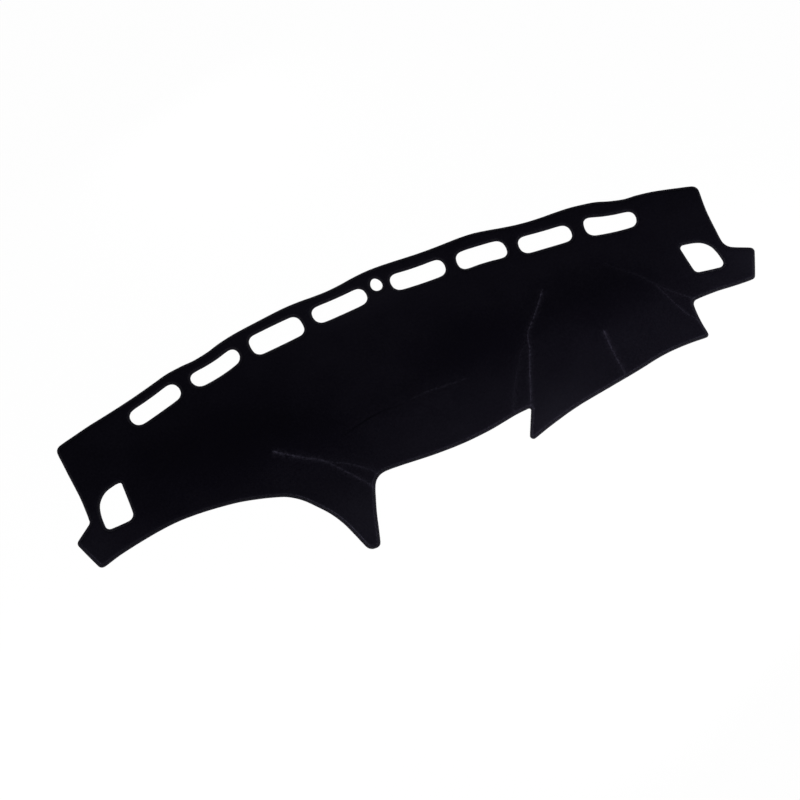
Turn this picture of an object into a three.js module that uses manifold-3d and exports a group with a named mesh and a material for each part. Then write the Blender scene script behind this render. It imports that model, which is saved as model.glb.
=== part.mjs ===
// Dashboard cover mat: one sheet of short-pile cloth, cut to the top of a dashboard, shaped with sewn darts, and edged
// all round, and round each of its openings, with overlock thread.
// Millimetres. +X runs to the car's right, +Y to the windscreen and +Z up; the mat lies on z = 0.

import * as THREE from 'three';
import { mergeVertices } from 'three/addons/utils/BufferGeometryUtils.js';
import Module from 'manifold-3d';

// Cloth and its sewn edge
const clothThickness = 4;
const overlockBand = 5; // how far the thread reaches in from the cut edge
const overlockWrap = 1.8; // thread outside the cloth's pinched edge
const pinchedEdge = 0.8; // thickness of the cloth where the thread pinches it
const seamGap = 0.3; // between thread and cloth, all round

// Pattern: x is measured from the middle line and y from the line through the two rear corners.
const rearSpan = 1407; // rear corner to rear corner
const rearRise = 105; // how far the rear edge bows out at the middle
const rearCornerRadius = 14;

// Shallow dips in the bowed rear edge, each by one of the slots
const rearDips = {
	bySlot1: { at: - 550, depth: 7, reach: 140 },
	bySlot2: { at: - 390, depth: 9.5, reach: 75 },
	bySlot4: { at: - 105, depth: 8.5, reach: 95 },
	bySlot5: { at: 110, depth: 6.2, reach: 125 },
	bySlot7: { at: 325, depth: 12, reach: 128 },
	bySlot8: { at: 537, depth: 9, reach: 62 },
};

// Each side falls to a neck, then stands out in a tab. In and out are across the mat, drops are towards the front.
const leftSide = {
	cornerIn: - 1.5, shoulderIn: 5, shoulderDrop: 63, waistIn: 11, waistDrop: 118,
	neckIn: 12, neckDrop: 167, neckRadius: 8,
	tabOut: 35.5, tabFall: 27.5, tabTaper: 26, tabDepth: 64, tabRadius: 9, tabFootRadius: 10,
};
const rightSide = {
	cornerIn: 3, shoulderIn: 18, shoulderDrop: 63, waistIn: 25, waistDrop: 112,
	neckIn: 30, neckDrop: 153, neckRadius: 24,
	tabOut: 55, tabFall: 27.5, tabTaper: 38.5, tabDepth: 62.5, tabRadius: 9, tabFootRadius: 11,
};

// Front edge, from the left tab to the right one. Each point of a bow has its share of the way between two corners,
// and how far it lies over the straight line between them.
const passengerBow = [[ 0.153, 22.9 ], [ 0.392, 46.9 ], [ 0.631, 51.4 ], [ 0.795, 43.8 ], [ 0.916, 29.9 ]];
const tongue = { at: - 238, depth: 431.5, tipWidth: 22, leftRadius: 16, rightRadius: 10 };
const tongueLeftFlank = [[ - 65.5, 118.5 ], [ - 38.5, 78.5 ], [ - 20, 28.5 ]]; // from the middle of the tongue's tip
const tongueRightFlank = [[ 20.5, 28.5 ], [ 33.5, 68.5 ]];
const tongueRoot = { out: 58, up: 129, radius: 32 };
const centreBow = [[ 0.153, - 2.9 ], [ 0.366, - 9.6 ], [ 0.55, - 12 ], [ 0.733, - 8.8 ], [ 0.885, - 2.1 ]];
const flapNotch = { at: 147.5, depth: 303.5, radius: 3 };
const flapTip = { in: 37, down: 64, radius: 6.6 };
const hoodBow = [[ 0.139, 8.5 ], [ 0.279, 13.9 ], [ 0.443, 14.1 ], [ 0.606, 13.9 ], [ 0.746, 15.3 ], [ 0.863, 10.9 ]];
const hoodCorner = { at: 538.5, depth: 317, radius: 8 };
const hoodNotch = { out: 9, up: 82.5, radius: 13, bow: 2.5 };
const driverBow = [[ 0.368, 2.1 ], [ 0.72, 0.1 ]];

// Openings over the windscreen vents, four on each side of the sensor hole. Inset is from the bowed rear edge,
// turn is anticlockwise in degrees, bend lifts the middle of a slot and taper widens its right end.
const slotMiddle = - 9.5;
const firstSlotOffset = 86;
const slotPitch = 136;
const slotRadius = 16.5;
const slotRoundest = 0.48; // largest corner radius, as a share of a slot's width
const slots = {
	slot1: { step: - 4, shift: 1, inset: 45.5, turn: 15.3, length: 109, width: 36, bend: - 1.4, taper: 1 },
	slot2: { step: - 3, shift: - 2.5, inset: 44.5, turn: 12.7, length: 107, width: 33.5, bend: - 5.4, taper: 0 },
	slot3: { step: - 2, shift: - 3.5, inset: 48, turn: 4, length: 111, width: 45.5, bend: 0, taper: 0 },
	slot4: { step: - 1, shift: 0, inset: 48.5, turn: 2.4, length: 117, width: 37.5, bend: - 2, taper: 0 },
	slot5: { step: 1, shift: 0, inset: 51, turn: - 4, length: 116, width: 38.5, bend: - 2.3, taper: 0 },
	slot6: { step: 2, shift: 1, inset: 57, turn: - 5.5, length: 106, width: 41, bend: 3, taper: 0 },
	slot7: { step: 3, shift: 0.5, inset: 61, turn: - 6.1, length: 114, width: 39, bend: - 1, taper: 0 },
	slot8: { step: 4, shift: 5.5, inset: 57, turn: - 13.3, length: 110, width: 40, bend: - 3.8, taper: - 5 },
};
const sensorHole = { inset: 37.5, width: 23, length: 29, narrowing: 0.14 };

// Openings over the side vents. In is from the rear corner, drop from the rear corners' line, and each corner is
// measured from the hole's centre: x towards the mat's middle, y to the rear, and its radius.
const leftSideHole = {
	in: 62.5, drop: 155,
	corners: [[ 27, 39, 4 ], [ 27, - 38, 13 ], [ - 27, - 39, 9 ], [ - 26.5, 35, 44 ]],
};
const rightSideHole = {
	in: 83, drop: 152,
	corners: [[ 31.5, 40, 8 ], [ 32.5, - 29, 10 ], [ - 32, - 41, 12 ], [ - 30, 26, 40 ]],
};

// Low domes that the sewn darts give the sheet, and a soft fold across its middle
const domes = {
	hood: { x: 368, y: - 171, halfLength: 185, halfWidth: 112, turn: - 3, height: 13 },
	passenger: { x: - 300, y: - 173, halfLength: 150, halfWidth: 80, turn: - 12, height: 9 },
	middleFold: { x: - 62, y: - 193, halfLength: 150, halfWidth: 40, turn: 0, height: 4.5 },
	leftEnd: { x: - 500, y: - 128, halfLength: 88, halfWidth: 80, turn: 10, height: 3.5 },
};
const domeMargin = 1.06; // flat cloth kept round a dome's foot, as a share of the dome
const reliefStep = 28; // grid of the formed cloth

// Darts: a sewn ridge from the tip to the fork, which opens into a folded wedge at the cut edge
const dartRise = 1.2;
const dartWidth = 4.5;
const dartBite = 0.8; // how deep the wedge is bedded in the cloth
const darts = [
	{ tip: [ 286, - 86 ], fork: [ 214, - 164 ], hem: [[ 113, - 308 ], [ 144, - 310 ]] },
	{ tip: [ 350, - 222 ], fork: [ 348, - 262 ], hem: [[ 342, - 330 ], [ 349, - 330 ]] },
	{ tip: [ 478, - 110 ], fork: [ 498, - 177 ], hem: [[ 541, - 268 ], [ 556, - 232 ]] },
	{ tip: [ - 334, - 188 ], fork: [ - 248, - 249 ], hem: [[ - 193, - 328 ], [ - 181, - 306 ]] },
];

// Fineness of the curves
const edgeStep = 30;
const cornerStep = THREE.MathUtils.degToRad( 31 );
const eggPoints = 14;
const domePoints = 24;
const past = 1; // how far a cutting body runs past what it cuts
const mergeDistance = 1e-4;

const wasm = await Module();
wasm.setup();

const point = ( [ x, y ] ) => new THREE.Vector2( x, y );
const halfSpan = rearSpan / 2;

// The bow of the rear edge, before its dips
function rearBow( x ) {

	return rearRise * ( 1 - ( x / halfSpan ) ** 2 );

}

function rearEdge( x ) {

	let y = rearBow( x );

	for ( const dip of Object.values( rearDips ) ) {

		const along = Math.abs( x - dip.at ) / dip.reach;
		if ( along < 1 ) y -= dip.depth * Math.cos( along * Math.PI / 2 ) ** 2;

	}

	return y;

}

// A round of a corner: the arc that touches both lines from the corner to its neighbours
function roundCorner( before, corner, after, radius ) {

	const toBefore = before.clone().sub( corner ).normalize();
	const toAfter = after.clone().sub( corner ).normalize();
	const half = Math.acos( THREE.MathUtils.clamp( toBefore.dot( toAfter ), - 1, 1 ) ) / 2;
	const middle = toBefore.clone().add( toAfter ).normalize();
	const centre = corner.clone().addScaledVector( middle, radius / Math.sin( half ) );
	const start = corner.clone().addScaledVector( toBefore, radius / Math.tan( half ) ).sub( centre ).angle();
	const sweep = ( Math.PI - 2 * half ) * Math.sign( toAfter.cross( toBefore ) );
	const count = Math.max( 2, Math.ceil( Math.abs( sweep ) / cornerStep ) );
	const arc = [];

	for ( let i = 0; i <= count; i ++ ) {

		const angle = start + sweep * i / count;
		arc.push( new THREE.Vector2( Math.cos( angle ), Math.sin( angle ) ).multiplyScalar( radius ).add( centre ) );

	}

	return arc;

}

// A closed outline from corners { at, radius, edge }, where edge lists the points on the way to the next corner
function outlineOf( corners ) {

	const rounds = corners.map( ( corner, i ) => {

		const last = corners.at( i - 1 );
		const next = corners[ ( i + 1 ) % corners.length ];
		return roundCorner( last.edge.at( - 1 ) ?? last.at, corner.at, corner.edge[ 0 ] ?? next.at, corner.radius );

	} );

	return corners.flatMap( ( corner, i ) => {

		if ( corner.edge.length === 0 ) return rounds[ i ];
		const arrival = rounds[ ( i + 1 ) % corners.length ][ 0 ];
		const curve = new THREE.SplineCurve( [ rounds[ i ].at( - 1 ), ...corner.edge, arrival ] );
		const count = Math.ceil( curve.getLength() / edgeStep );
		return [ ...rounds[ i ], ...curve.getSpacedPoints( count ).slice( 1, - 1 ) ];

	} );

}

// The four corners of one side, from the rear corner to the foot of the tab; side is -1 on the left, 1 on the right
function sideCorners( size, side ) {

	const across = ( inward ) => side * ( halfSpan - inward );
	const corner = ( inward, drop, radius, edge = [] ) => ( { at: point( [ across( inward ), - drop ] ), radius, edge } );
	const tabIn = size.neckIn - size.tabOut;
	const tabDrop = size.neckDrop + size.tabFall;
	const fall = [
		point( [ across( size.shoulderIn ), - size.shoulderDrop ] ),
		point( [ across( size.waistIn ), - size.waistDrop ] ),
	];

	return [
		corner( size.cornerIn, 0, rearCornerRadius, fall ),
		corner( size.neckIn, size.neckDrop, size.neckRadius ),
		corner( tabIn, tabDrop, size.tabRadius ),
		corner( tabIn + size.tabTaper, tabDrop + size.tabDepth, size.tabFootRadius ),
	];

}

function bowed( from, to, bow ) {

	return bow.map( ( [ share, over ] ) => from.clone().lerp( to, share ).add( point( [ 0, over ] ) ) );

}

function matOutline() {

	const fromTip = ( [ x, y ] ) => point( [ tongue.at + x, y - tongue.depth ] );
	const left = sideCorners( leftSide, - 1 );
	const right = sideCorners( rightSide, 1 ).reverse();
	const leftFlank = tongueLeftFlank.map( fromTip );
	const root = fromTip( [ tongueRoot.out, tongueRoot.up ] );
	const notch = point( [ flapNotch.at, - flapNotch.depth ] );
	const flap = notch.clone().sub( point( [ flapTip.in, flapTip.down ] ) );
	const hood = point( [ hoodCorner.at, - hoodCorner.depth ] );
	const hoodTop = hood.clone().add( point( [ hoodNotch.out, hoodNotch.up ] ) );
	const hoodSide = hood.clone().add( hoodTop ).divideScalar( 2 ).sub( point( [ hoodNotch.bow, 0 ] ) );
	const rearSteps = 2 * Math.round( halfSpan / edgeStep );
	const rear = Array.from( { length: rearSteps - 3 }, ( _, i ) => {

		const x = halfSpan - ( i + 2 ) * rearSpan / rearSteps;
		return point( [ x, rearEdge( x ) ] );

	} );

	// The outline runs anticlockwise, so up the right side each edge belongs to the corner below it.
	left[ 3 ].edge = bowed( left[ 3 ].at, leftFlank[ 0 ], passengerBow ).concat( leftFlank );
	right[ 2 ].edge = right[ 3 ].edge.reverse();
	right[ 3 ].edge = rear;

	return outlineOf( [
		...left,
		{ at: fromTip( [ - tongue.tipWidth / 2, 0 ] ), radius: tongue.leftRadius, edge: [] },
		{ at: fromTip( [ tongue.tipWidth / 2, 0 ] ), radius: tongue.rightRadius, edge: tongueRightFlank.map( fromTip ) },
		{ at: root, radius: tongueRoot.radius, edge: bowed( root, notch, centreBow ) },
		{ at: notch, radius: flapNotch.radius, edge: [] },
		{ at: flap, radius: flapTip.radius, edge: bowed( flap, hood, hoodBow ) },
		{ at: hood, radius: hoodCorner.radius, edge: [ hoodSide ] },
		{ at: hoodTop, radius: hoodNotch.radius, edge: bowed( hoodTop, right[ 0 ].at, driverBow ) },
		...right,
	] );

}

// A windscreen vent's slot: a rectangle with round corners, bent along its length and turned into place
function slotOutline( slot ) {

	const halfLength = slot.length / 2;
	const x = slotMiddle + Math.sign( slot.step ) * ( firstSlotOffset + ( Math.abs( slot.step ) - 1 ) * slotPitch );
	const corner = ( sideways, up ) => ( {
		at: point( [ sideways * halfLength, up * ( slot.width + sideways * slot.taper ) / 2 ] ),
		radius: Math.min( slotRadius, slotRoundest * ( slot.width - Math.abs( slot.taper ) ) ),
		edge: [],
	} );
	const middle = ( up ) => slot.bend === 0 ? [] : [ point( [ 0, up * slot.width / 2 ] ) ];
	const top = { ...corner( 1, 1 ), edge: middle( 1 ) };
	const bottom = { ...corner( - 1, - 1 ), edge: middle( - 1 ) };
	const centre = point( [ x + slot.shift, rearBow( x + slot.shift ) - slot.inset ] );
	const origin = new THREE.Vector2();

	return outlineOf( [ top, corner( - 1, 1 ), bottom, corner( 1, - 1 ) ] ).map( ( p ) => {

		p.y += slot.bend * ( 1 - ( p.x / halfLength ) ** 2 );
		return p.rotateAround( origin, THREE.MathUtils.degToRad( slot.turn ) ).add( centre );

	} );

}

// The sensor's hole is egg-shaped, with its narrow end to the rear.
function sensorOutline() {

	const centre = rearBow( slotMiddle ) - sensorHole.inset;

	return Array.from( { length: eggPoints }, ( _, i ) => {

		const angle = i / eggPoints * 2 * Math.PI;
		const width = sensorHole.width * ( 1 - sensorHole.narrowing * Math.sin( angle ) );
		return point( [ slotMiddle + width / 2 * Math.cos( angle ), centre + sensorHole.length / 2 * Math.sin( angle ) ] );

	} );

}

function sideHoleOutline( hole, side ) {

	const corners = hole.corners.map( ( [ x, y, radius ] ) => ( {
		at: point( [ side * ( halfSpan - hole.in - x ), y - hole.drop ] ), radius, edge: [],
	} ) );

	return outlineOf( corners );

}

// Moves a closed outline sideways by a distance, outwards where it is positive
function offset( outline, distance ) {

	const outwards = THREE.ShapeUtils.area( outline ) > 0 ? distance : - distance;

	return outline.map( ( p, i ) => {

		const before = p.clone().sub( outline.at( i - 1 ) ).normalize();
		const after = outline[ ( i + 1 ) % outline.length ].clone().sub( p ).normalize();
		const normal = point( [ before.y + after.y, - before.x - after.x ] );
		return p.clone().addScaledVector( normal, 2 * outwards / normal.lengthSq() );

	} );

}

function toSolid( geometry ) {

	geometry.deleteAttribute( 'normal' );
	geometry.deleteAttribute( 'uv' );
	const merged = mergeVertices( geometry, mergeDistance );

	return new wasm.Manifold( new wasm.Mesh( {
		numProp: 3,
		vertProperties: new Float32Array( merged.attributes.position.array ),
		triVerts: new Uint32Array( merged.index.array ),
	} ) );

}

function shapeOf( outline, holes = [] ) {

	const shape = new THREE.Shape( outline );
	shape.holes = holes.map( ( hole ) => new THREE.Path( hole ) );
	return shape;

}

function prism( outline, low, high ) {

	const options = { depth: high - low, bevelEnabled: false };
	return toSolid( new THREE.ExtrudeGeometry( shapeOf( outline ), options ).translate( 0, 0, low ) );

}

// A plate whose edge slopes from both faces to a lip at its middle; reach is how far the lip stands out
function pinchedPlate( shape, thickness, lip, reach ) {

	const slope = ( thickness - lip ) / 2;
	const options = { depth: lip, bevelThickness: slope, bevelSize: reach, bevelSegments: 1 };
	return toSolid( new THREE.ExtrudeGeometry( shape, options ).translate( 0, 0, slope ) );

}

// How high the formed cloth lies over the flat
function relief( x, y ) {

	let height = 0;

	for ( const dome of Object.values( domes ) ) {

		const place = point( [ x - dome.x, y - dome.y ] );
		place.rotateAround( new THREE.Vector2(), - THREE.MathUtils.degToRad( dome.turn ) );
		const away = ( place.x / dome.halfLength ) ** 2 + ( place.y / dome.halfWidth ) ** 2;
		if ( away < 1 ) height += dome.height * ( 1 - away ) ** 2;

	}

	return height;

}

function domeOutline( dome, share ) {

	const turn = THREE.MathUtils.degToRad( dome.turn );
	const ellipse = new THREE.EllipseCurve(
		dome.x, dome.y, dome.halfLength * share, dome.halfWidth * share, 0, 2 * Math.PI, false, turn );
	return ellipse.getPoints( domePoints ).slice( 0, - 1 );

}

// A layer of the formed cloth between two heights, measured from the cloth's underside
function formedLayer( low, high ) {

	const width = rearSpan + leftSide.tabOut + rightSide.tabOut;
	const depth = rearRise + tongue.depth;
	const columns = Math.round( width / reliefStep );
	const rows = Math.round( depth / reliefStep );
	const layer = new THREE.BoxGeometry( width, depth, high - low, columns, rows, 1 );
	layer.translate( 0, rearRise - depth / 2, ( low + high ) / 2 );
	const place = layer.attributes.position;

	for ( let i = 0; i < place.count; i ++ ) place.setZ( i, place.getZ( i ) + relief( place.getX( i ), place.getY( i ) ) );

	return toSolid( layer );

}

// A dart seen from above: a strip to the fork, then a wedge that runs on past the cut edge
function dartOutline( dart ) {

	const tip = point( dart.tip );
	const fork = point( dart.fork );
	const sideways = fork.clone().sub( tip ).normalize().rotateAround( new THREE.Vector2(), Math.PI / 2 );
	const half = dartWidth / 2;

	return [
		tip.clone().addScaledVector( sideways, - half ),
		fork.clone().addScaledVector( sideways, - half ),
		...dart.hem.map( point ),
		fork.clone().addScaledVector( sideways, half ),
		tip.clone().addScaledVector( sideways, half ),
	];

}

const joined = ( solids ) => solids.reduce( ( all, solid ) => all.add( solid ) );

const outline = matOutline();
const openings = [
	...Object.values( slots ).map( ( slot, i ) => [ `slot_overlock_${ i + 1 }`, slotOutline( slot ) ] ),
	[ 'sensor_hole_overlock', sensorOutline() ],
	[ 'side_hole_overlock_left', sideHoleOutline( leftSideHole, - 1 ) ],
	[ 'side_hole_overlock_right', sideHoleOutline( rightSideHole, 1 ) ],
];

// The thread's channel, and the cloth's pinched edge in it with the gap all round
const channelLip = pinchedEdge + 2 * seamGap;
const channelReach = overlockBand - overlockWrap;
const channelSlope = channelReach / ( clothThickness - channelLip );
const clothReach = channelSlope * ( clothThickness - pinchedEdge );
const clothInset = overlockWrap + seamGap + clothReach;

// The thread round the mat's own edge. What its channel takes out is made a little too thick, along the same slope.
const channelOver = 0.4;
const channelPlate = pinchedPlate(
	shapeOf( offset( outline, - overlockBand - channelOver * channelSlope ) ),
	clothThickness + channelOver, channelLip, channelReach + channelOver * channelSlope,
).translate( [ 0, 0, - channelOver / 2 ] );
const edgeThread = prism( outline, 0, clothThickness ).subtract( channelPlate );

// The thread round an opening
function openingThread( opening ) {

	const collar = pinchedPlate( shapeOf( offset( opening, overlockBand ) ), clothThickness, channelLip, - channelReach );
	return collar.subtract( prism( opening, - past, clothThickness + past ) );

}

// The sheet: flat cloth with a pinched edge, the domes let into it, and the darts raised on it
function clothPanel() {

	const holes = openings.map( ( [ , opening ] ) => offset( opening, clothInset ) );
	const flat = pinchedPlate(
		shapeOf( offset( outline, - clothInset ), holes ), clothThickness, pinchedEdge, clothReach );
	const each = Object.values( domes );
	const top = clothThickness + Math.max( ...each.map( ( dome ) => dome.height ) ) * each.length;
	const inner = joined( each.map( ( dome ) => prism( domeOutline( dome, 1 ), - past, top ) ) );
	const outer = joined( each.map( ( dome ) => prism( domeOutline( dome, domeMargin ), - past, top ) ) );
	const cuts = joined( holes.map( ( hole ) => prism( hole, - 2 * past, top + past ) ) );
	const sheet = prism( offset( outline, - clothInset ), - past, top ).subtract( cuts );
	const wedges = joined( darts.map( ( dart ) => prism( dartOutline( dart ), - past, top ) ) );
	const formed = formedLayer( 0, clothThickness ).intersect( outer ).intersect( sheet );
	const layer = formedLayer( clothThickness - dartBite, clothThickness + dartRise );
	const raised = layer.intersect( wedges ).intersect( sheet );

	return flat.subtract( inner ).add( formed ).add( raised );

}

function meshOf( name, solid, material ) {

	const { vertProperties, triVerts } = solid.getMesh();
	const geometry = new THREE.BufferGeometry();
	geometry.setAttribute( 'position', new THREE.BufferAttribute( vertProperties, 3 ) );
	geometry.setIndex( new THREE.BufferAttribute( triVerts, 1 ) );
	const mesh = new THREE.Mesh( geometry, material );
	mesh.name = name;
	return mesh;

}

const cloth = new THREE.MeshStandardMaterial( { color: 0x0e0d13, roughness: 0.95, metalness: 0 } );
const thread = () => new THREE.MeshStandardMaterial( { color: 0x15141b, roughness: 0.7, metalness: 0 } );

const mat = new THREE.Group();
mat.add( meshOf( 'mat_panel', clothPanel(), cloth ) );
mat.add( meshOf( 'edge_overlock', edgeThread, thread() ) );

for ( const [ name, opening ] of openings ) mat.add( meshOf( name, openingThread( opening ), thread() ) );

// The origin is at the middle of the mat's base.
const box = new THREE.Box2().setFromPoints( outline );
const middle = box.getCenter( new THREE.Vector2() );
mat.position.set( - middle.x, - middle.y, 0 );

export default mat;
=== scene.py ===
"""Dashboard cover mat: a sheet of pile cloth with sewn darts and overlocked edges, laid flat on a table."""

import math

import bpy
import numpy as np
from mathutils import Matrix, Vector
from mathutils.bvhtree import BVHTree
from mathutils.geometry import delaunay_2d_cdt
from mathutils.kdtree import KDTree


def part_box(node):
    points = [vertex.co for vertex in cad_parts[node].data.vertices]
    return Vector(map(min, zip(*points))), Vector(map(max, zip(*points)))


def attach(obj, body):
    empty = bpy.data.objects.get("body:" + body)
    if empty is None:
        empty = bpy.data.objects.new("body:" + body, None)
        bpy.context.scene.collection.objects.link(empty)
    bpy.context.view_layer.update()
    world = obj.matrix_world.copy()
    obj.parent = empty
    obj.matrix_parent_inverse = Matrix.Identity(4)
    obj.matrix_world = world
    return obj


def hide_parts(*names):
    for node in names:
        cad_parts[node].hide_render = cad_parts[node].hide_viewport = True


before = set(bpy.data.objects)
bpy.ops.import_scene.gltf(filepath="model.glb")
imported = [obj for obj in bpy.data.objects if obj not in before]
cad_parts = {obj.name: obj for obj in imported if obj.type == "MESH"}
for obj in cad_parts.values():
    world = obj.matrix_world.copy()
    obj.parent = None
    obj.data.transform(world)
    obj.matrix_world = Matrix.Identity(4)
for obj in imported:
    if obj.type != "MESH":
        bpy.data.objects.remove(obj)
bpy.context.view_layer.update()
MM = 0.001

# The cut. One piece of cloth is cut to the top of the dashboard, with eight slots over the windscreen
# vents, an egg-shaped hole over the light sensor and two holes over the side vents. Each cut edge is read
# from the frame, from the outer wall of the thread that is sewn over it.
OUTER_THREAD = "edge_overlock"
NEGLIGIBLE = 1e-5  # a height in metres, or a slope, that counts as level
PLACE_DIGITS = 6  # to which places are rounded, so that the same corner is found again
DRAWN_STEP = 0.4 * MM  # between the points of a drawn edge


def cut_corners(node):
    """The corners of the wall that stands over a cut edge, in order, seen from above."""
    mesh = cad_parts[node].data
    top = max(v.co.z for v in mesh.vertices)
    following = {}
    for face in mesh.polygons:
        corners = [mesh.vertices[i].co for i in face.vertices]
        if abs(face.normal.z) > NEGLIGIBLE or max(c.z for c in corners) < top - NEGLIGIBLE:
            continue
        places = [tuple(round(c, PLACE_DIGITS) for c in corner.xy) for corner in corners]
        for i, j in ((0, 1), (1, 2), (2, 0)):
            if max(corners[i].z, corners[j].z) < NEGLIGIBLE:
                following[places[i]] = places[j]
    ordered = [next(iter(following))]
    while following[ordered[-1]] != ordered[0]:
        ordered.append(following[ordered[-1]])
    return np.array(ordered)


def units(vectors):
    """The vectors at a length of one."""
    return vectors / np.linalg.norm(vectors, axis=1)[:, None]


def smooth(corners, closed):
    """Points close together on a smooth curve through the corners."""
    if closed:
        tangents = units(np.roll(corners, -1, 0) - np.roll(corners, 1, 0))
        corners = np.vstack([corners, corners[:1]])
        tangents = np.vstack([tangents, tangents[:1]])
    else:
        tangents = units(np.gradient(corners, axis=0))
    stretches = []
    for here, there, leaving, arriving in zip(corners, corners[1:], tangents, tangents[1:]):
        chord = np.linalg.norm(there - here)
        t = np.linspace(0, 1, max(2, math.ceil(chord / DRAWN_STEP)), endpoint=False)[:, None]
        stretches.append(
            (2 * t**3 - 3 * t**2 + 1) * here + (3 * t**2 - 2 * t**3) * there
            + (t**3 - 2 * t**2 + t) * chord * leaving + (t**3 - t**2) * chord * arriving
        )
    if not closed:
        stretches.append(corners[-1:])
    return np.vstack(stretches)


def leftward(tangents):
    """The directions to the left of some tangents."""
    return np.column_stack([-tangents[:, 1], tangents[:, 0]])


class CutEdge:
    """One cut edge as a smooth closed curve seen from above, with the cloth on its left."""

    def __init__(self, node):
        corners = cut_corners(node)
        x, y = corners.T
        anticlockwise = x @ np.roll(y, -1) > y @ np.roll(x, -1)
        if anticlockwise != (node == OUTER_THREAD):
            corners = corners[::-1]
        self.points = smooth(corners, closed=True)
        following = np.roll(self.points, -1, 0)
        self.inward = leftward(units(following - np.roll(self.points, 1, 0)))
        self.along = np.append(0, np.cumsum(np.linalg.norm(following - self.points, axis=1)))
        self.length = self.along[-1]

    def interpolated(self, along, values):
        """What the values along the edge are at some distances along it."""
        closed = np.vstack([values, values[:1]])
        return np.column_stack([np.interp(along % self.length, self.along, v) for v in closed.T])

    def at(self, along, depth):
        """Points at distances along the edge and a depth into the cloth, and which way is inward there."""
        inward = units(self.interpolated(along, self.inward))
        return self.interpolated(along, self.points) + inward * np.reshape(depth, (-1, 1)), inward


def tree_of(points):
    """A tree that finds the nearest of some points, seen from above."""
    tree = KDTree(len(points))
    for index, (x, y) in enumerate(points):
        tree.insert((x, y, 0), index)
    tree.balance()
    return tree


edges = {node: CutEdge(node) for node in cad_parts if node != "mat_panel"}
edge_points = np.vstack([edge.points for edge in edges.values()])
edge_inward = np.vstack([edge.inward for edge in edges.values()])
edge_tree = tree_of(edge_points)


def nearest_edge(points):
    """How far each point lies from the nearest cut edge, below zero off the cloth, and its inward there."""
    found = [edge_tree.find((x, y, 0)) for x, y in points]
    nearest = [index for _, index, _ in found]
    distance = np.array([away for _, _, away in found])
    inward = edge_inward[nearest]
    side = np.sum((points - edge_points[nearest]) * inward, axis=1)
    return np.where(side > 0, distance, -distance), inward


# The lie of the sheet. It rests on the table by its underside. The darts give it four low domes, which
# are read from the underside of the frame's sheet, and its rear hem ripples where the outline dips.
RELIEF_CELL = 6 * MM
RELIEF_BLUR = 11 * MM
RELIEF_MARGIN = 4 * RELIEF_BLUR
BLUR_REACH = 3 * RELIEF_BLUR
BELOW = -1  # metres, from where the underside is looked at
RIPPLES = {  # place along the rear hem: lift in mm and reach in metres
    -0.55: (2.2, 0.12),
    -0.39: (3.0, 0.075),
    -0.105: (2.6, 0.095),
    0.11: (2.0, 0.12),
    0.325: (3.2, 0.12),
    0.537: (2.4, 0.065),
}
RIPPLE_FADE = 0.05  # metres that a ripple runs in from the rear hem
REAR_FROM = 0.1  # metres: the rear hem lies behind this line,
REAR_FACING = -0.7  # and its inward points to the front
WAVE_HEIGHT = 0.9 * MM
WAVES = [(21, 9, 0.4), (-13, 27, 2.1), (34, -17, 4.4)]  # radians per metre across and up, and phase

low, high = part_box("mat_panel")
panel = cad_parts["mat_panel"].data
panel_tree = BVHTree.FromPolygons([v.co for v in panel.vertices], [p.vertices for p in panel.polygons])
relief_x = np.arange(low.x - RELIEF_MARGIN, high.x + RELIEF_MARGIN, RELIEF_CELL)
relief_y = np.arange(low.y - RELIEF_MARGIN, high.y + RELIEF_MARGIN, RELIEF_CELL)
relief = np.zeros((len(relief_y), len(relief_x)))
for row, y in enumerate(relief_y):
    for column, x in enumerate(relief_x):
        hit = panel_tree.ray_cast(Vector((x, y, BELOW)), Vector((0, 0, 1)))[0]
        if hit:
            relief[row, column] = hit.z
offsets = np.arange(-BLUR_REACH, BLUR_REACH, RELIEF_CELL)
weights = np.exp(-(((offsets - offsets.mean()) / RELIEF_BLUR) ** 2) / 2)
weights /= weights.sum()
for axis in (0, 1):
    relief = np.apply_along_axis(lambda line: np.convolve(line, weights, "same"), axis, relief)

outer = edges[OUTER_THREAD]
rear_hem = outer.points[(outer.inward[:, 1] < REAR_FACING) & (outer.points[:, 1] > REAR_FROM)]
rear_hem = rear_hem[np.argsort(rear_hem[:, 0])]


def bell(distance):
    """1 at no distance, and soon 0 beyond a distance of 1."""
    return np.exp(-(distance**2))


def lie(points):
    """How high the underside of the sheet lies over the table."""
    x, y = points.T
    column = (x - relief_x[0]) / RELIEF_CELL
    row = (y - relief_y[0]) / RELIEF_CELL
    i, j = row.astype(int), column.astype(int)
    v, u = row - i, column - j
    height = (
        (relief[i, j] * (1 - u) + relief[i, j + 1] * u) * (1 - v)
        + (relief[i + 1, j] * (1 - u) + relief[i + 1, j + 1] * u) * v
    )
    from_rear = np.interp(x, rear_hem[:, 0], rear_hem[:, 1]) - y
    for place, (lift, reach) in RIPPLES.items():
        across = np.clip(np.abs(x - place) / reach, 0, 1)
        height += lift * MM * np.cos(across * math.pi / 2) ** 2 * bell(from_rear / RIPPLE_FADE)
    for along_x, along_y, phase in WAVES:
        height += WAVE_HEIGHT / len(WAVES) * (1 + np.cos(along_x * x + along_y * y + phase)) / 2
    return height


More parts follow.
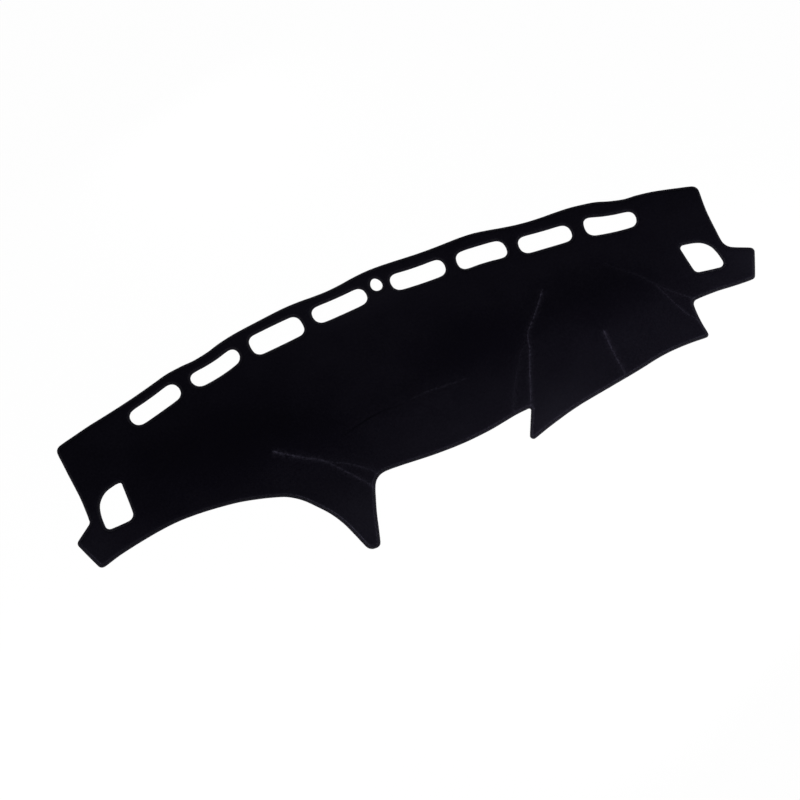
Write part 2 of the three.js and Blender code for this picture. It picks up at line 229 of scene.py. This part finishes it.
# The darts and the crease. Wedges are cut out of the cloth and its edges are sewn together from below, so
# that each dart shows as a thin valley between two lips of pile, paler where the pile parts. A dart with
# two legs has a folded wedge under it, which lifts the cloth between them. The crease is a soft step, with
# painted shade in its groove at the left end and a painted highlight on its ridge at the right end.
SEAMS = {  # the line in metres, how pale it is at its two ends, how far it is parted to each side in mm
    "hood_left": ([(0.289, 0.079), (0.267, 0.054), (0.242, 0.028), (0.216, 0.003), (0.202, -0.031),
                   (0.183, -0.068), (0.165, -0.105), (0.147, -0.143)], 0.75, 0.6, 1.4),
    "hood_left_fold": ([(0.216, 0.003), (0.181, -0.034), (0.156, -0.066), (0.136, -0.094),
                        (0.114, -0.132)], 0.08, 0.16, 3.0),
    "hood_front": ([(0.352, -0.055), (0.349, -0.083), (0.3475, -0.111), (0.3465, -0.138),
                    (0.346, -0.160)], 0.6, 0.4, 1.6),
    "hood_right_tip": ([(0.428, 0.084), (0.438, 0.066), (0.455, 0.046), (0.476, 0.025),
                        (0.497, -0.006)], 0.06, 0.14, 2.0),
    "hood_right_rear": ([(0.497, -0.006), (0.517, -0.032), (0.536, -0.051), (0.554, -0.070)],
                        0.14, 0.25, 1.8),
    "hood_right_front": ([(0.497, -0.006), (0.508, -0.046), (0.515, -0.070), (0.522, -0.090),
                          (0.535, -0.112)], 0.22, 0.28, 1.4),
    "tongue": ([(-0.337, -0.017), (-0.316, -0.034), (-0.290, -0.052), (-0.261, -0.070),
                (-0.249, -0.080)], 0.95, 0.4, 1.8),
    "tongue_rear": ([(-0.249, -0.080), (-0.221, -0.096), (-0.198, -0.113), (-0.176, -0.135)],
                    0.25, 0.3, 1.8),
    "tongue_front": ([(-0.249, -0.080), (-0.231, -0.105), (-0.215, -0.127), (-0.201, -0.146),
                      (-0.192, -0.160)], 0.4, 0.5, 1.6),
}
FOLDED_WEDGES = [  # each lies right of its first leg and left of its second
    ("hood_left", "hood_left_fold"),
    ("hood_right_rear", "hood_right_front"),
    ("tongue_rear", "tongue_front"),
]
LINE_STEP = 2.4 * MM
SEAM_TAPER = 5 * MM  # how far a seam takes to reach its full depth
SEAM_LEAST = 0.15  # the share of that depth which even the faintest seam has
LIP_RISE = 0.35 * MM
LIP_PLACE = 1.9 * MM
LIP_WIDTH = 1.2 * MM
VALLEY_DEPTH = 0.6 * MM
VALLEY_WIDTH = 0.8 * MM
GLOW = 0.2  # the share of a seam's paleness that is spread wide,
GLOW_REACH = 4  # this many times as far
WEDGE_RISE = 0.5 * MM
WEDGE_SOFT = 2.5 * MM
CREASE = [(-0.205, -0.044), (-0.174, -0.037), (-0.144, -0.031), (-0.108, -0.029), (-0.074, -0.031),
          (-0.046, -0.029), (-0.016, -0.028), (0.018, -0.031), (0.070, -0.034)]
CREASE_STEP = 0.45 * MM
CREASE_WIDTH = 1.7 * MM
CREASE_FADE = 20 * MM
CREASE_PAINTED_SHADE = 1.3  # how dark the painted shade in its groove is at the left end
CREASE_PAINTED_HIGHLIGHT = 0.5  # how pale the painted highlight on its ridge is at the right end


def drawn(corners):
    """A smooth line through the corners, with points a few millimetres apart."""
    fine = smooth(np.array(corners), closed=False)
    return np.vstack([fine[:: round(LINE_STEP / DRAWN_STEP)], fine[-1:]])


def beside(points, line):
    """How far each point lies to the left of a line, and which share of the line it has passed."""
    side = np.full(len(points), np.inf)
    along = np.zeros(len(points))
    gone = 0
    for start, step in zip(line, np.diff(line, axis=0)):
        length = np.linalg.norm(step)
        foot = np.clip((points - start) @ step / length**2, 0, 1)
        away = points - start - foot[:, None] * step
        distance = np.linalg.norm(away, axis=1)
        nearer = distance < np.abs(side)
        left = np.where(step[0] * away[:, 1] > step[1] * away[:, 0], 1, -1)
        side = np.where(nearer, left * distance, side)
        along = np.where(nearer, gone + foot * length, along)
        gone += length
    return side, along / gone, gone


seam_lines = {name: drawn(corners) for name, (corners, *_) in SEAMS.items()}
crease_line = drawn(CREASE)


def sewing(points):
    """What the darts and the crease add to the height of the pile, and how much paler the parted pile of the
    darts is, with the crease's painted shade and highlight.
    """
    height = np.zeros(len(points))
    parted_and_painted_light = np.zeros(len(points))
    sides = {}
    for name, (_, pale_start, pale_end, reach) in SEAMS.items():
        side, share, length = beside(points, seam_lines[name])
        sides[name] = side, share
        whole = np.clip(share * length / SEAM_TAPER, 0, 1)
        paleness = pale_start * (1 - share) + pale_end * share
        lips = LIP_RISE * bell((np.abs(side) - LIP_PLACE) / LIP_WIDTH)
        valley = VALLEY_DEPTH * bell(side / VALLEY_WIDTH)
        height += (lips - valley) * whole * (SEAM_LEAST + (1 - SEAM_LEAST) * paleness)
        spread = side / (reach * MM)
        parted_and_painted_light = np.maximum(
            parted_and_painted_light, ((1 - GLOW) * bell(spread) + GLOW * bell(spread / GLOW_REACH)) * whole * paleness
        )
    for first, second in FOLDED_WEDGES:
        right_of_first = (1 - np.tanh(sides[first][0] / WEDGE_SOFT)) / 2
        left_of_second = (1 + np.tanh(sides[second][0] / WEDGE_SOFT)) / 2
        within = (sides[second][1] > 0) & (sides[second][1] < 1)
        height += WEDGE_RISE * right_of_first * left_of_second * within
    side, share, _ = beside(points, crease_line)
    turning = np.cos(math.pi * share) * np.sqrt(np.clip(np.sin(math.pi * share), 0, 1))
    height += CREASE_STEP * turning * np.tanh(side / CREASE_WIDTH) * bell(side / CREASE_FADE)
    # painted shade in the groove at the left end, and a painted highlight on the ridge at the right end
    parted_and_painted_light -= bell(side / CREASE_WIDTH) * turning * np.where(turning > 0, CREASE_PAINTED_SHADE, CREASE_PAINTED_HIGHLIGHT)
    return height, parted_and_painted_light


# The shades of the pile. Beside the stitches the needle pulls it down and parts it, which shows as a pale
# line along the front hems; this line is painted light, paler where the hem faces the front and the left.
# Patches of painted light and shade make the pile look paler or darker from above than the rest.
HEM_LINE = 5.7  # mm in from the edge
HEM_LINE_WIDTH = 0.9  # mm
# how pale the hem line is painted, as painted light
HEM_PAINTED_LIGHT = 0.7
HEM_PAINTED_FROM = -0.02  # metres: the line begins here, going to the front,
HEM_PAINTED_FADE = 0.09  # and is whole after this
# painted light, by which way the hem faces:
HEM_ALL = 0.05  # how pale it is whichever way the hem faces,
HEM_FRONT = 0.35  # how much more so where it faces the front,
HEM_LEFT = 2.4  # where it faces left,
HEM_RIGHT = 0.5  # and where it faces right
PAINTED_LIGHT_PATCHES = {  # place of a patch in metres: how much paler it is as painted light, or darker as painted shade below 0, and its reach across and up
    (-0.43, 0.04): (-0.5, 0.20, 0.09),
    (-0.24, -0.03): (-0.3, 0.08, 0.05),
    (0.11, 0.03): (-0.5, 0.13, 0.07),
    (0.41, 0.00): (-0.36, 0.13, 0.07),
    (0.19, -0.18): (0.45, 0.10, 0.05),
    (-0.24, -0.22): (0.5, 0.07, 0.06),
    (-0.04, -0.12): (0.15, 0.10, 0.04),
    (-0.06, 0.21): (0.4, 0.14, 0.035),
    (-0.70, -0.05): (0.3, 0.06, 0.05),
    (0.71, -0.04): (0.3, 0.05, 0.04),
}
# painted shade over the whole sheet, which the patches lift or deepen
PAINTED_SHADE_ALL_OVER = -0.12


def parted_hem_and_painted_light(points):
    """How pale the line beside the stitches is at each point, as painted light: only along the front hems,
    paler where the hem faces the front and the left.
    """
    depth, inward = nearest_edge(points)
    facing_left = np.clip(inward[:, 0], 0, 1) ** 4
    facing_right = np.clip(-inward[:, 0], 0, 1)
    facing = HEM_ALL + HEM_FRONT * inward[:, 1] + HEM_LEFT * facing_left + HEM_RIGHT * facing_right
    to_the_front = np.clip((HEM_PAINTED_FROM - points[:, 1]) / HEM_PAINTED_FADE, 0, 1)
    return HEM_PAINTED_LIGHT * np.maximum(facing, 0) * to_the_front * bell((depth / MM - HEM_LINE) / HEM_LINE_WIDTH)


def painted_light_and_shade(points):
    """How much paler or darker the pile is painted to look from above, as painted light and shade."""
    x, y = points.T
    look = np.full(len(points), PAINTED_SHADE_ALL_OVER)
    for (place_x, place_y), (amount, across, up) in PAINTED_LIGHT_PATCHES.items():
        look += amount * bell((x - place_x) / across) * bell((y - place_y) / up)
    return look


# The sheet of pile cloth, 4 mm thick, with its edge pinched by the thread. Its upper face is a fine net of
# triangles, with rings along each cut edge and rows along each seam. The underside is plain, and coarser.
RIM_DEPTH = 0.3 * MM
RIM_STEP = 3 * MM
UPPER_RINGS = [1.6 * MM, 3.2 * MM, 5.2 * MM, 6.2 * MM, 7.2 * MM, 9 * MM]
UNDER_RINGS = [1.6 * MM, 5.2 * MM, 9 * MM]
RING_KEPT = 0.93  # a ring's point stays where it is at least this share of its depth from every edge
UPPER_PROFILE = (  # mm in from the edge, and mm over the lie of the sheet
    [0.3, 1.6, 3.2, 4.6, 5.3, 6.2, 7.2, 9, 11],
    [1.9, 2.6, 2.9, 2.9, 2.7, 3.4, 3.75, 3.95, 4],
)
UNDER_PROFILE = ([0.3, 1.6, 3.2, 5.2, 9], [1.15, 0.8, 0.65, 0.5, 0])
FIELD_FROM = 5  # mm in from the edge, from where the pile stands free,
FIELD_FADE = 4  # and fully so after this
ROW_OFFSETS = [0, 0.8, -0.8, 1.7, -1.7, 2.7, -2.7, 4.6, -4.6]  # mm beside a seam
SPECIAL_APART = 0.7 * MM
UPPER_SPACING = 4.2 * MM
UNDER_SPACING = 10 * MM
LOOSENESS = 0.15  # how far a point of the net strays, as a share of the spacing
NET_CLEAR = 0.6  # how far it keeps from the rings and rows, as a share of the spacing
PILE_UNEVEN = 0.09 * MM
ALL_TRIANGLES = 0  # keeps those outside the rims too, which are left out afterwards
SAME_PLACE = 1e-6  # metres within which two points are one
PILE_DARK = (6, 5, 10)  # each colour as red, green and blue on a screen, from 0 to 255
PILE_LIGHT = (17, 16, 22)
PILE_PARTED_AND_PAINTED_LIGHT = (46, 44, 55)
PILE_PAINTED_CREASE_SHADE = (2, 2, 4)
PILE_SHEEN = (190, 180, 225)
TUFT_SCALE = 900  # per metre
LOCK_SCALE = 230
DRIFT_SCALE = 14
TUFT_SHARE = 1.4  # how much each of the three varies the shade
LOCK_SHARE = 0.8
DRIFT_SHARE = 0.4
PARTED_GAIN = 2.8  # how far the locks break up a parted line
PARTED_LESS = 0.8
randomness = np.random.default_rng(seed=7)


def ring(edge, depth):
    """Evenly spaced points round a cut edge, at a depth."""
    count = round(edge.length / RIM_STEP)
    return edge.at(np.arange(count) * edge.length / count, depth)[0]


def rings(depths):
    """Rings round every cut edge, without the points of a ring that crosses itself in a tight corner."""
    found = []
    for depth in depths:
        for edge in edges.values():
            points = ring(edge, depth)
            found.append(points[nearest_edge(points)[0] > RING_KEPT * depth])
    return np.vstack(found)


def thinned(points, apart):
    """The points, without those that lie too close to an earlier one."""
    kept = []
    cells = {}
    for point in points:
        column, row = int(point[0] // apart), int(point[1] // apart)
        around = [cells.get((column + i, row + j)) for i in (-1, 0, 1) for j in (-1, 0, 1)]
        if all(other is None or math.dist(other, point) >= apart for other in around):
            cells[column, row] = point
            kept.append(point)
    return np.array(kept)


def filled(special, spacing):
    """The special points, and a loose net over the cloth between them."""
    x, y = np.meshgrid(
        np.arange(low.x, high.x, spacing), np.arange(low.y, high.y, spacing * math.sqrt(3) / 2)
    )
    x[1::2] += spacing / 2
    net = np.column_stack([x.ravel(), y.ravel()])
    net += randomness.uniform(-LOOSENESS, LOOSENESS, net.shape) * spacing
    tree = tree_of(np.vstack([*rims, special]))
    net = np.array([p for p in net if tree.find((*p, 0))[2] > NET_CLEAR * spacing])
    return np.vstack([special, net[nearest_edge(net)[0] > RIM_DEPTH]])


def triangles(inner):
    """Points and triangles of the cloth inside its rims. The rims' points come first."""
    points = np.vstack([*rims, inner])
    found = delaunay_2d_cdt([Vector(p) for p in points], rim_sides, [], ALL_TRIANGLES, SAME_PLACE, True)
    sources = [origins[0] for origins in found[3]]
    faces = np.array([[sources[i] for i in face] for face in found[2]])
    a, b, c = points[faces].transpose(1, 0, 2)
    turned = (b - a)[:, 0] * (c - a)[:, 1] < (b - a)[:, 1] * (c - a)[:, 0]
    faces[turned] = faces[turned][:, ::-1]
    corners = faces.tolist()
    left_of = {side: i for i, face in enumerate(corners) for side in zip(face, face[1:] + face[:1])}
    waiting = [left_of[side] for side in rim_sides]
    inside = set(waiting)
    closed = set(rim_sides)
    while waiting:
        face = corners[waiting.pop()]
        for here, there in zip(face, face[1:] + face[:1]):
            beyond = left_of.get((there, here))
            if (here, there) not in closed and beyond not in inside:
                inside.add(beyond)
                waiting.append(beyond)
    return points, faces[sorted(inside)]


rims = [ring(edge, RIM_DEPTH) for edge in edges.values()]
rim_sides = []
start = 0
for rim in rims:
    rim_sides += [(start + i, start + (i + 1) % len(rim)) for i in range(len(rim))]
    start += len(rim)
rows = []
for line in [*seam_lines.values(), crease_line]:
    to_the_left = leftward(units(np.gradient(line, axis=0)))
    rows += [line + offset * MM * to_the_left for offset in ROW_OFFSETS]
rows = np.vstack(rows)
rows = rows[nearest_edge(rows)[0] > UPPER_RINGS[-1]]

upper, upper_faces = triangles(
    filled(thinned(np.vstack([rings(UPPER_RINGS), rows]), SPECIAL_APART), UPPER_SPACING)
)
under, under_faces = triangles(filled(rings(UNDER_RINGS), UNDER_SPACING))
sewn, parted_and_painted_light = sewing(upper)
upper_depth = nearest_edge(upper)[0] / MM
under_depth = nearest_edge(under)[0] / MM
in_field = np.clip((upper_depth - FIELD_FROM) / FIELD_FADE, 0, 1)
uneven = randomness.normal(0, PILE_UNEVEN, len(upper))
upper_z = lie(upper) + np.interp(upper_depth, *UPPER_PROFILE) * MM + (sewn + uneven) * in_field
under_z = lie(under) + np.interp(under_depth, *UNDER_PROFILE) * MM
wall = [(here, here + len(upper), there + len(upper), there) for here, there in rim_sides]

mesh = bpy.data.meshes.new("pile_sheet")
mesh.from_pydata(
    np.vstack([np.column_stack([upper, upper_z]), np.column_stack([under, under_z])]).tolist(),
    [],
    [*upper_faces.tolist(), *(under_faces[:, ::-1] + len(upper)).tolist(), *wall],
)
mesh.shade_smooth()
# the parted pile with the painted light of the hems and the crease, and the patches of painted light and
# shade
for name, values in (("parted_and_painted_light", parted_and_painted_light + parted_hem_and_painted_light(upper)), ("painted_light_and_shade", painted_light_and_shade(upper))):
    mark = mesh.attributes.new(name, "FLOAT", "POINT")
    mark.data.foreach_set("value", np.append(values, np.zeros(len(under))).astype(np.float32))
sheet = bpy.data.objects.new("pile_sheet", mesh)
bpy.context.scene.collection.objects.link(sheet)


class Wire:
    """A socket that a node gives. Arithmetic on it adds the Math nodes."""

    def __init__(self, look, socket):
        self.look = look
        self.socket = socket

    def maths(self, operation, first, second):
        return self.look.node("ShaderNodeMath", {"operation": operation}, {0: first, 1: second})

    def __add__(self, other):
        return self.maths("ADD", self, other)

    def __sub__(self, other):
        return self.maths("SUBTRACT", self, other)

    def __mul__(self, other):
        return self.maths("MULTIPLY", self, other)

    __radd__ = __add__
    __rmul__ = __mul__


class Look:
    """The nodes of a material, or of the world."""

    def __init__(self, name, kind=bpy.data.materials):
        self.owner = kind.new(name)
        self.owner.use_nodes = True
        self.owner.node_tree.nodes.clear()

    def node(self, kind, settings, sockets, output=0):
        """Adds a node, with its settings first and then its sockets, and gives one of its outputs."""
        added = self.owner.node_tree.nodes.new(kind)
        for key, value in settings.items():
            setattr(added, key, value)
        for key, value in sockets.items():
            if isinstance(value, Wire):
                self.owner.node_tree.links.new(value.socket, added.inputs[key])
            else:
                added.inputs[key].default_value = value
        return Wire(self, added.outputs[output]) if added.outputs else None

    def mix(self, share, first, second):
        """A colour between two, at a share kept between 0 and 1. Sockets 6 and 7 take the colours."""
        return self.node("ShaderNodeMix", {"data_type": "RGBA"}, {0: share, 6: first, 7: second}, 2)

    def noise(self, scale, detail, roughness=0.5):
        """A noise from 0 to 1 over the object, with a scale per metre."""
        place = self.node("ShaderNodeTexCoord", {}, {}, "Object")
        sockets = {"Vector": place, "Scale": scale, "Detail": detail, "Roughness": roughness}
        return self.node("ShaderNodeTexNoise", {}, sockets)


def colour(red, green, blue):
    """A colour's light from how it looks on a screen, each from 0 to 255."""
    linear = [((c / 255 + 0.055) / 1.055) ** 2.4 if c > 10 else c / 255 / 12.92 for c in (red, green, blue)]
    return (*linear, 1)


pile = Look("pile_cloth")
tufts = pile.noise(TUFT_SCALE, detail=3, roughness=0.6)
locks = pile.noise(LOCK_SCALE, detail=2, roughness=0.6)
drifts = pile.noise(DRIFT_SCALE, detail=3)
painted_patches = pile.node("ShaderNodeAttribute", {"attribute_name": "painted_light_and_shade"}, {}, "Fac")
parted_and_painted_light_mark = pile.node("ShaderNodeAttribute", {"attribute_name": "parted_and_painted_light"}, {}, "Fac")
# the random tone of the tufts, locks and drifts, with the patches of painted light and shade
tone_and_painted_light = painted_patches + 0.5 + TUFT_SHARE * (tufts - 0.5) + LOCK_SHARE * (locks - 0.5) + DRIFT_SHARE * (drifts - 0.5)
shade = pile.mix(tone_and_painted_light, colour(*PILE_DARK), colour(*PILE_LIGHT))
# pale parted pile along the darts, and painted light along the front hems and on the crease's ridge
shade = pile.mix(parted_and_painted_light_mark * (PARTED_GAIN * locks - PARTED_LESS), shade, colour(*PILE_PARTED_AND_PAINTED_LIGHT))
# painted shade in the crease's groove
shade = pile.mix(parted_and_painted_light_mark * -1, shade, colour(*PILE_PAINTED_CREASE_SHADE))
pile_bump = pile.node("ShaderNodeBump", {}, {"Strength": 0.4, "Distance": 0.5 * MM, "Height": tufts})
pile.node("ShaderNodeOutputMaterial", {}, {
    "Surface": pile.node("ShaderNodeBsdfPrincipled", {}, {
        "Base Color": shade,
        "Roughness": 0.95,
        "Specular IOR Level": 0.01,
        "Sheen Weight": 0.001,
        "Sheen Roughness": 0.5,
        "Sheen Tint": colour(*PILE_SHEEN),
        "Normal": pile_bump,
    }),
})
mesh.materials.append(pile.owner)
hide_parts("mat_panel")
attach(sheet, "root")

# The overlock threads. Three spun polyester threads are sewn round every cut edge. One looper's thread
# zigzags over the pile and one under it, and they cross at the edge. The needle's thread holds both, in a
# row of short stitches inside.
STITCH = 2.6 * MM
THREAD_WIDTH = 0.5 * MM  # half the width of a looper's thread, which lies flat
THREAD_THICKNESS = 0.26 * MM  # half its thickness
EDGE_HEIGHT = 1.55  # mm over the lie of the sheet, where the threads cross at the edge
FLAT_FROM = 2.5  # mm in from the edge, from where a thread lies flat on the cloth
LEAST_TURN = 0.25  # the share of the turn to that which it has beside the edge
THREAD_DARK = (8, 7, 12)
THREAD_LIGHT = (24, 22, 31)
THREAD_SHEEN = (200, 190, 235)
FIBRE_SCALE = 2600  # per metre
# Each point is a share of a stitch, a depth into the cloth in mm, and 1 over it, -1 under it or 0 at its edge
UPPER_LOOPER = [(0, 5.1, 1), (0.2, 3.2, 1), (0.36, 1.4, 1), (0.43, 0.1, 0), (0.57, 0.1, 0), (0.64, 1.4, 1),
                (0.8, 3.2, 1)]
UNDER_LOOPER = [(0.5, 0.1, 0), (0.75, 1.8, -1), (1, 4.2, -1), (1.25, 1.8, -1)]
NEEDLE = [(0, 5.3, 1), (0.5, 5.3, 1)]
THREADS = [(UPPER_LOOPER, 0.15, 1), (UNDER_LOOPER, 0.15, 0.9), (NEEDLE, 0.25, 0.7)]  # mm off the cloth, size


def thread_path(edge, stitches, pattern, off_cloth):
    """A thread's centreline round a cut edge, and which way is out of the cloth there."""
    number = np.repeat(np.arange(stitches), len(pattern))
    share, depth, side = np.tile(np.array(pattern, float), (stitches, 1)).T
    flat, inward = edge.at((number + share) * edge.length / stitches, depth * MM)
    over = np.interp(depth, *UPPER_PROFILE) + off_cloth
    under = np.interp(depth, *UNDER_PROFILE) - off_cloth
    height = np.select([side > 0, side < 0], [over, under], EDGE_HEIGHT) * MM
    turn = side * np.clip(depth / FLAT_FROM, LEAST_TURN, 1) * math.pi / 2
    out = np.column_stack([-inward * np.cos(turn)[:, None], np.sin(turn)])
    return np.column_stack([flat, lie(flat) + height]), out


def tube(path, out, width, thickness):
    """Rings of four points round a closed path, and the faces between them."""
    tangents = units(np.roll(path, -1, 0) - np.roll(path, 1, 0))
    sideways = units(np.cross(tangents, out))
    outward = np.cross(sideways, tangents)
    points = np.stack([path + sideways * width, path + outward * thickness,
                       path - sideways * width, path - outward * thickness], axis=1)
    here = np.arange(len(path))[:, None] * 4
    there = np.roll(here, -1, 0)
    corner = np.arange(4)
    following = np.roll(corner, -1)
    faces = np.stack([here + corner, there + corner, there + following, here + following], axis=2)
    return points.reshape(-1, 3), faces.reshape(-1, 4)


thread_look = Look("overlock_thread")
fibres = thread_look.noise(FIBRE_SCALE, detail=2)
fibre_bump = thread_look.node(
    "ShaderNodeBump", {}, {"Strength": 0.5, "Distance": 0.15 * MM, "Height": fibres}
)
thread_look.node("ShaderNodeOutputMaterial", {}, {
    "Surface": thread_look.node("ShaderNodeBsdfPrincipled", {}, {
        "Base Color": thread_look.mix(fibres, colour(*THREAD_DARK), colour(*THREAD_LIGHT)),
        "Roughness": 0.6,
        "Specular IOR Level": 0.12,
        "Sheen Weight": 0.02,
        "Sheen Roughness": 0.4,
        "Sheen Tint": colour(*THREAD_SHEEN),
        "Normal": fibre_bump,
    }),
})
for node, edge in edges.items():
    stitches = round(edge.length / STITCH)
    points = []
    faces = []
    start = 0
    for pattern, off_cloth, size in THREADS:
        path, out = thread_path(edge, stitches, pattern, off_cloth)
        thread_points, thread_faces = tube(path, out, THREAD_WIDTH * size, THREAD_THICKNESS * size)
        points.append(thread_points)
        faces.append(thread_faces + start)
        start += len(thread_points)
    mesh = bpy.data.meshes.new(node.replace("overlock", "thread"))
    mesh.from_pydata(np.vstack(points).tolist(), [], np.vstack(faces).tolist())
    mesh.shade_smooth()
    mesh.materials.append(thread_look.owner)
    thread = bpy.data.objects.new(mesh.name, mesh)
    bpy.context.scene.collection.objects.link(thread)
    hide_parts(node)
    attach(thread, "root")

# The table, a plain white board that the mat was laid on to be photographed. Seen by the camera it is
# almost all its own white, and the rest keeps the mat's shadow.
TABLE_REACH = 12  # metres
WHITE_SHARE = 0.985
WHITE = (1, 1, 1, 1)
BOARD_COLOUR = (0.9, 0.9, 0.9, 1)
table_mesh = bpy.data.meshes.new("table_top")
table_mesh.from_pydata(
    [(-TABLE_REACH, -TABLE_REACH, 0), (TABLE_REACH, -TABLE_REACH, 0), (TABLE_REACH, TABLE_REACH, 0),
     (-TABLE_REACH, TABLE_REACH, 0)],
    [],
    [(0, 1, 2, 3)],
)
board = Look("white_board")
seen = board.node("ShaderNodeLightPath", {}, {}, "Is Camera Ray")
mirrored = board.node("ShaderNodeLightPath", {}, {}, "Is Glossy Ray")
board.node("ShaderNodeOutputMaterial", {}, {
    "Surface": board.node("ShaderNodeMixShader", {}, {
        0: WHITE_SHARE * (seen + mirrored),
        1: board.node("ShaderNodeBsdfDiffuse", {}, {"Color": BOARD_COLOUR}),
        2: board.node("ShaderNodeEmission", {}, {"Color": WHITE, "Strength": 1}),
    }),
})
table_mesh.materials.append(board.owner)
table = bpy.data.objects.new("table_top", table_mesh)
bpy.context.scene.collection.objects.link(table)

# The light. Soft lamps stand low round the front of the table, with a weak one behind it, in a white room
# that gives a little even light.
FILL = 0.09
LAMP_SIZE = 0.45
LAMPS = {  # place in metres, watts
    "left_light": ((-1.0, -0.6, 0.38), 9.7),
    "front_light": ((0.2, -0.62, 0.35), 6.5),
    "right_light": ((0.9, -0.4, 0.32), 7.6),
    "rear_light": ((-0.2, 0.75, 0.3), 2.4),
}
room = Look("white_room", bpy.data.worlds)
seen = room.node("ShaderNodeLightPath", {}, {}, "Is Camera Ray")
strength = FILL + (1 - FILL) * seen
room.node("ShaderNodeOutputWorld", {}, {
    "Surface": room.node("ShaderNodeBackground", {}, {"Color": WHITE, "Strength": strength}),
})
bpy.context.scene.world = room.owner
for name, (place, watts) in LAMPS.items():
    lamp = bpy.data.lights.new(name, "AREA")
    lamp.size = LAMP_SIZE
    lamp.energy = watts
    light = bpy.data.objects.new(name, lamp)
    light.location = place
    light.rotation_euler = Vector(place).to_track_quat("Z", "Y").to_euler()
    light.visible_camera = False
    bpy.context.scene.collection.objects.link(light)

# The camera, where the photograph was taken from: high over the mat's front, a little to the left.
AZIMUTH = math.radians(-25)
ELEVATION = math.radians(66)
DISTANCE = 2.13585
AIM = Vector((-0.07264, -0.01892, 0))
FOCAL_LENGTH = 50  # mm
SENSOR_WIDTH = 36  # mm
outward = Vector((
    math.sin(AZIMUTH) * math.cos(ELEVATION), -math.cos(AZIMUTH) * math.cos(ELEVATION), math.sin(ELEVATION)
))
lens = bpy.data.cameras.new("camera")
lens.lens = FOCAL_LENGTH
lens.sensor_width = SENSOR_WIDTH
camera = bpy.data.objects.new("camera", lens)
camera.location = AIM + outward * DISTANCE
camera.rotation_euler = outward.to_track_quat("Z", "Y").to_euler()
bpy.context.scene.collection.objects.link(camera)
bpy.context.scene.camera = camera
bpy.context.scene.view_settings.view_transform = "Standard"
